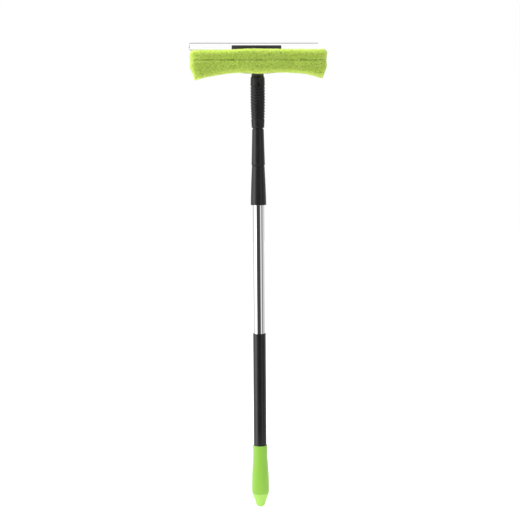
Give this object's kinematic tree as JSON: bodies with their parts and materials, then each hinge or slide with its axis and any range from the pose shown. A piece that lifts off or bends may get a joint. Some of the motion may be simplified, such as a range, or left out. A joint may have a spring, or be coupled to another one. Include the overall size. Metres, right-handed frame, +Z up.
{
  "type": "window squeegee",
  "caption": "Telescopic window squeegee: T-shaped head with a microfibre scrubber and a rubber blade in a metal channel, hand grip, and a pole that slides and locks with a twist.",
  "frame": {"origin": "centre of the hanging hole through the end cap, on the pole's axis", "axes": "+Z up the pole towards the head, +X along the blade and along the hanging hole, -Y the way the scrubber faces, +Y the way the rubber points"},
  "size_m": [0.2612, 0.073, 0.9144],
  "materials": {
    "black_plastic": "moulded, satin",
    "black_grip_rubber": "soft matte",
    "blade_rubber": "smooth matte",
    "green_plastic": "soft satin",
    "green_cap_plastic": "soft satin",
    "microfibre": "deep pile",
    "sponge": "open foam",
    "closure_tape": "hook and loop",
    "polished_steel": "mirror polished",
    "black_painted_steel": "satin powder coat",
    "black_steel": "blackened",
    "plain_steel": "zinc plated",
    "lock_plastic": "natural acetal"
  },
  "bodies": {
    "lower_pole": {"outer_tube": "black_painted_steel", "guide_bush": "black_plastic", "hand_grip": "green_plastic", "end_cap": "green_cap_plastic"},
    "lock_sleeve": {"lock_expander": "lock_plastic"},
    "lock_cone": {"lock_wedge": "lock_plastic"},
    "upper_pole": {"inner_tube": "polished_steel", "lock_plug": "lock_plastic", "lock_end_screw": "plain_steel", "pole_connector": "black_plastic", "connector_rivet": "plain_steel"},
    "head": {"head_frame": "black_plastic", "sponge_core": "sponge", "microfibre_sleeve": "microfibre", "hook_tapes": "closure_tape", "loop_tapes": "closure_tape", "squeegee_channel": "polished_steel", "rubber_blade": "blade_rubber", "channel_clamp": "black_plastic", "clamp_screws": "plain_steel", "clamp_nuts": "plain_steel", "handle_core": "black_plastic", "ribbed_grip": "black_grip_rubber", "neck_screw": "black_steel"}
  },
  "joints": [
    {"name": "pole_slide", "type": "slide", "parent": "lower_pole", "child": "lock_sleeve", "axis": [0, 0, 1], "range_m": [-0.22, 0.02]},
    {"name": "twist_lock", "type": "hinge", "parent": "lock_sleeve", "child": "upper_pole", "pos_m": [0, 0, 0.28], "axis": [0, 0, 1], "range_deg": [0, 180]},
    {"name": "wedge_travel", "type": "slide", "parent": "lock_sleeve", "child": "lock_cone", "axis": [0, 0, 1], "range_m": [-0.001, 0]},
    {"name": "head_release", "type": "slide", "parent": "upper_pole", "child": "head", "axis": [0, 0, 1], "range_m": [0, 0.06]}
  ],
  "couplings": [
    {"joint": "wedge_travel", "follows": "twist_lock", "m_per_rad": -0.0002785}
  ]
}
